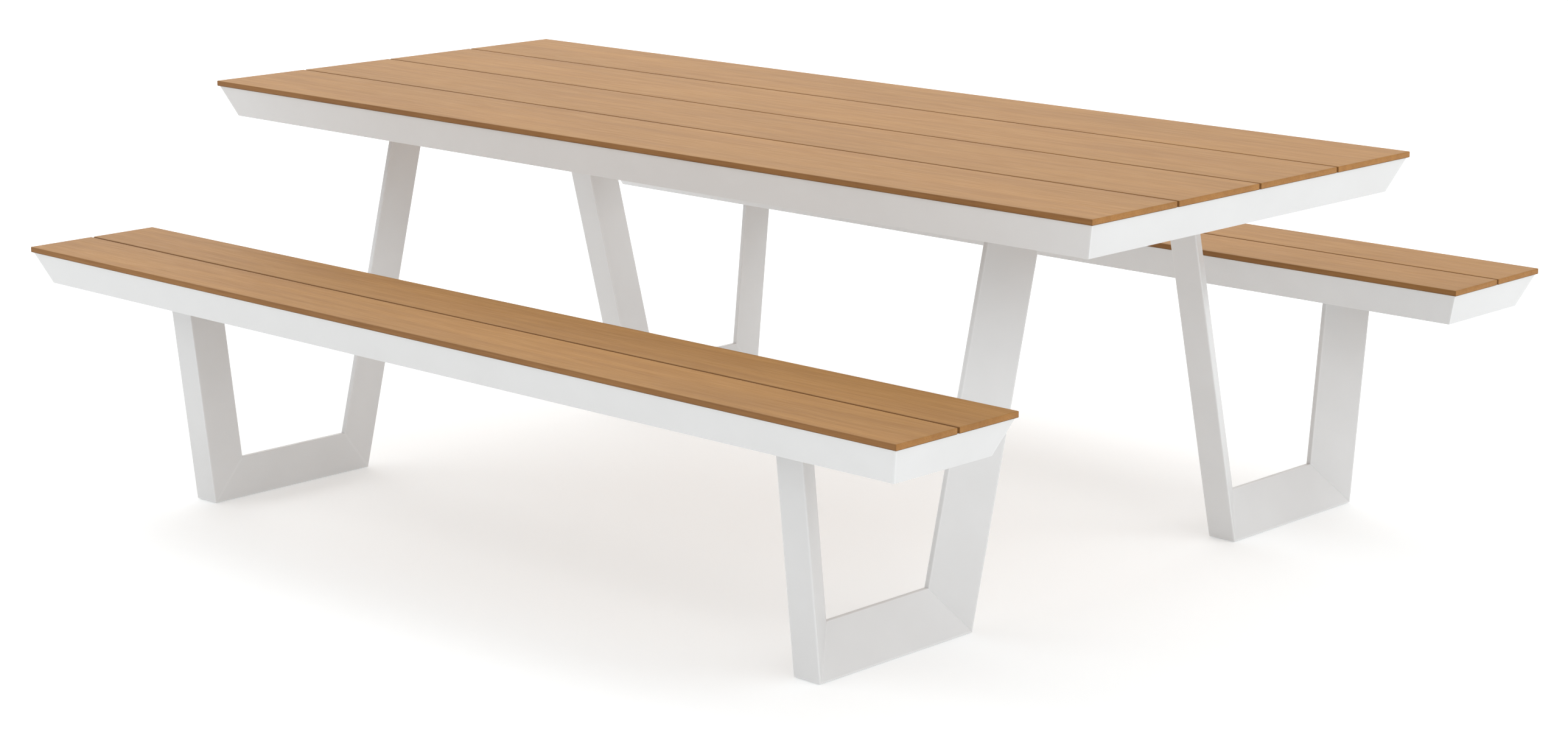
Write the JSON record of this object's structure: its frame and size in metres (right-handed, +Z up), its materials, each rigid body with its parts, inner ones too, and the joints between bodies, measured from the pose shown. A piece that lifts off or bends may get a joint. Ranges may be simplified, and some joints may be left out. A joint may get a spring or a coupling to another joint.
{
  "type": "picnic table",
  "caption": "Fixed picnic table with a boarded top and two boarded benches, carried on open U-shaped leg frames in white coated metal.",
  "frame": {"origin": "on the floor under the middle of the top", "axes": "+X along the table, +Y across it towards the back bench, +Z up"},
  "size_m": [2.2, 1.79, 0.745],
  "materials": {
    "board_wood": "matt, fine straight brushed grain along the board",
    "white_coat": "satin powder coat with a fine even texture",
    "zinc_steel": "zinc plated",
    "glide_plastic": "moulded, matt"
  },
  "bodies": {
    "root": {"back_bench_bearer_left_end": "white_coat", "back_bench_bearer_left_middle": "white_coat", "back_bench_bearer_right_end": "white_coat", "back_bench_bearer_right_middle": "white_coat", "back_bench_board_1": "board_wood", "back_bench_board_2": "board_wood", "back_bench_rail_back": "white_coat", "back_bench_rail_front": "white_coat", "back_bench_rail_left": "white_coat", "back_bench_rail_right": "white_coat", "bench_board_screws": "zinc_steel", "bench_leg_bolts": "zinc_steel", "bench_leg_plate_left_back": "white_coat", "bench_leg_plate_left_front": "white_coat", "bench_leg_plate_right_back": "white_coat", "bench_leg_plate_right_front": "white_coat", "bench_tapping_plates": "zinc_steel", "foot_bar_left_back": "white_coat", "foot_bar_left_front": "white_coat", "foot_bar_right_back": "white_coat", "foot_bar_right_front": "white_coat", "foot_glides": "glide_plastic", "front_bench_bearer_left_end": "white_coat", "front_bench_bearer_left_middle": "white_coat", "front_bench_bearer_right_end": "white_coat", "front_bench_bearer_right_middle": "white_coat", "front_bench_board_1": "board_wood", "front_bench_board_2": "board_wood", "front_bench_rail_back": "white_coat", "front_bench_rail_front": "white_coat", "front_bench_rail_left": "white_coat", "front_bench_rail_right": "white_coat", "inner_leg_left_back": "white_coat", "inner_leg_left_front": "white_coat", "inner_leg_right_back": "white_coat", "inner_leg_right_front": "white_coat", "outer_leg_left_back": "white_coat", "outer_leg_left_front": "white_coat", "outer_leg_right_back": "white_coat", "outer_leg_right_front": "white_coat", "table_bearer_left_end": "white_coat", "table_bearer_left_middle": "white_coat", "table_bearer_right_end": "white_coat", "table_bearer_right_middle": "white_coat", "table_board_1": "board_wood", "table_board_2": "board_wood", "table_board_3": "board_wood", "table_board_4": "board_wood", "table_board_screws": "zinc_steel", "table_leg_bolts": "zinc_steel", "table_leg_plate_left_back": "white_coat", "table_leg_plate_left_front": "white_coat", "table_leg_plate_right_back": "white_coat", "table_leg_plate_right_front": "white_coat", "table_rail_back": "white_coat", "table_rail_front": "white_coat", "table_rail_left": "white_coat", "table_rail_right": "white_coat", "table_tapping_plates": "zinc_steel"}
  },
  "joints": []
}
